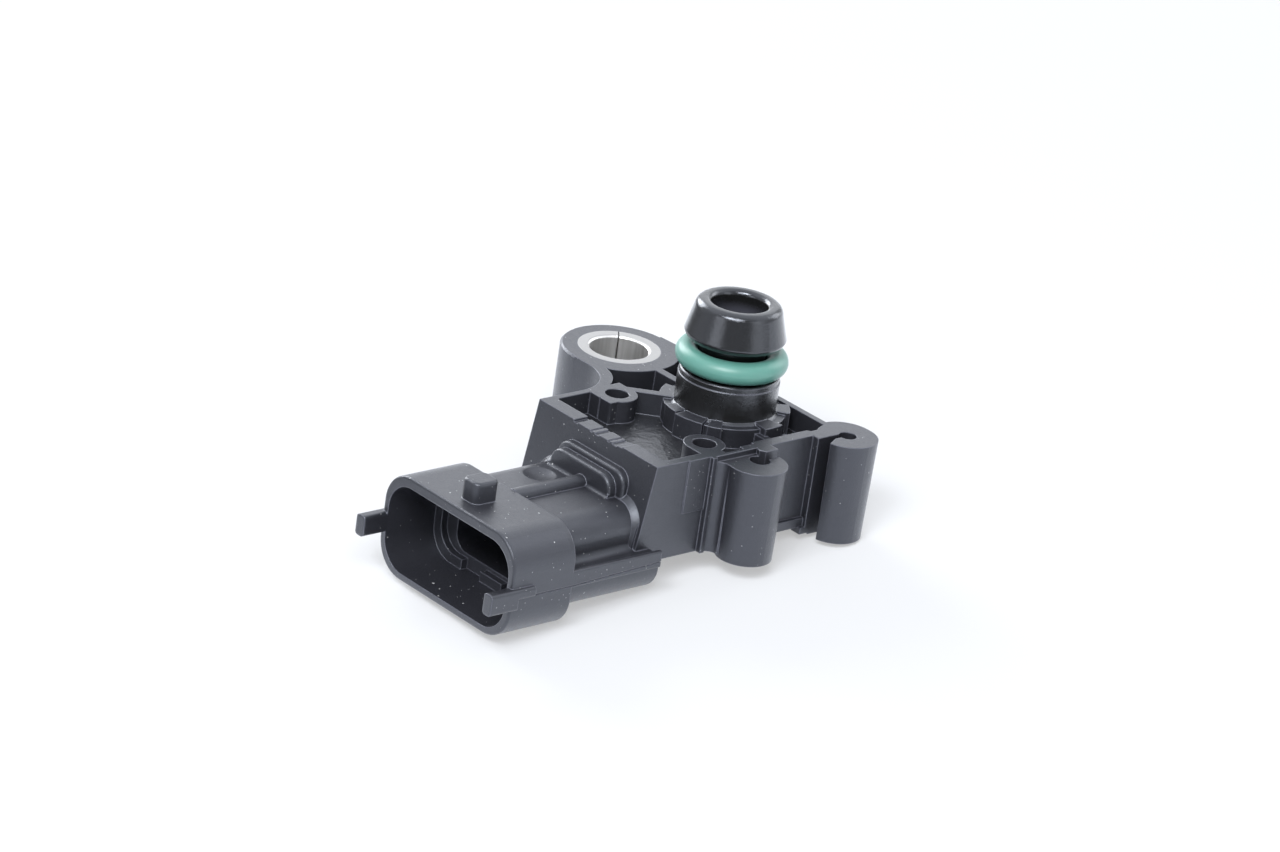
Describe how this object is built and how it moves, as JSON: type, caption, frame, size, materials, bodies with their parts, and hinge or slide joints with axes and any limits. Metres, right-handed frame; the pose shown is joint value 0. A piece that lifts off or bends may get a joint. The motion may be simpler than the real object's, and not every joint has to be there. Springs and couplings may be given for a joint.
{
  "type": "manifold absolute pressure sensor",
  "caption": "Plug-in engine sensor: black moulded body with a sealed pressure port, a steel-bushed fastening ear and an open electrical connector.",
  "frame": {"origin": "axis of the pressure port in the seat plane, the plane of the body's and the bush's upper faces that lies against the manifold", "axes": "+Z along the pressure port towards its tip, -Y out of the connector's mouth, +X towards the side with the two guide pillars"},
  "size_m": [0.0418, 0.0551, 0.0294],
  "materials": {
    "housing_plastic": "fine-grained black glass-filled moulding, glossier on the port",
    "seal_rubber": "smooth teal green rubber",
    "bush_steel": "rolled steel, bright cut rim and streaked bore",
    "cover_plastic": "satin black moulding",
    "adhesive": "cured black silicone glue",
    "module_plastic": "fine matt black moulding compound",
    "lead_metal": "tinned copper alloy",
    "base_glass": "clear glass",
    "silicon": "polished dark grey silicon",
    "wire_metal": "bright gold wire",
    "gel": "soft clear silicone gel",
    "capacitor_ceramic": "tan ceramic with tinned ends",
    "terminal_metal": "tin-plated copper alloy"
  },
  "bodies": {
    "root": {"housing": "housing_plastic", "o_ring": "seal_rubber", "mounting_bush": "bush_steel", "rear_cover": "cover_plastic", "cover_adhesive": "adhesive", "sensor_module": "module_plastic", "module_seal": "adhesive", "module_lead_left": "lead_metal", "module_lead_middle": "lead_metal", "module_lead_right": "lead_metal", "glass_base": "base_glass", "sensing_chip": "silicon", "signal_chip": "silicon", "bond_wires": "wire_metal", "protective_gel": "gel", "emc_capacitor_left": "capacitor_ceramic", "emc_capacitor_right": "capacitor_ceramic", "terminal_left": "terminal_metal", "terminal_middle": "terminal_metal", "terminal_right": "terminal_metal"}
  },
  "joints": []
}
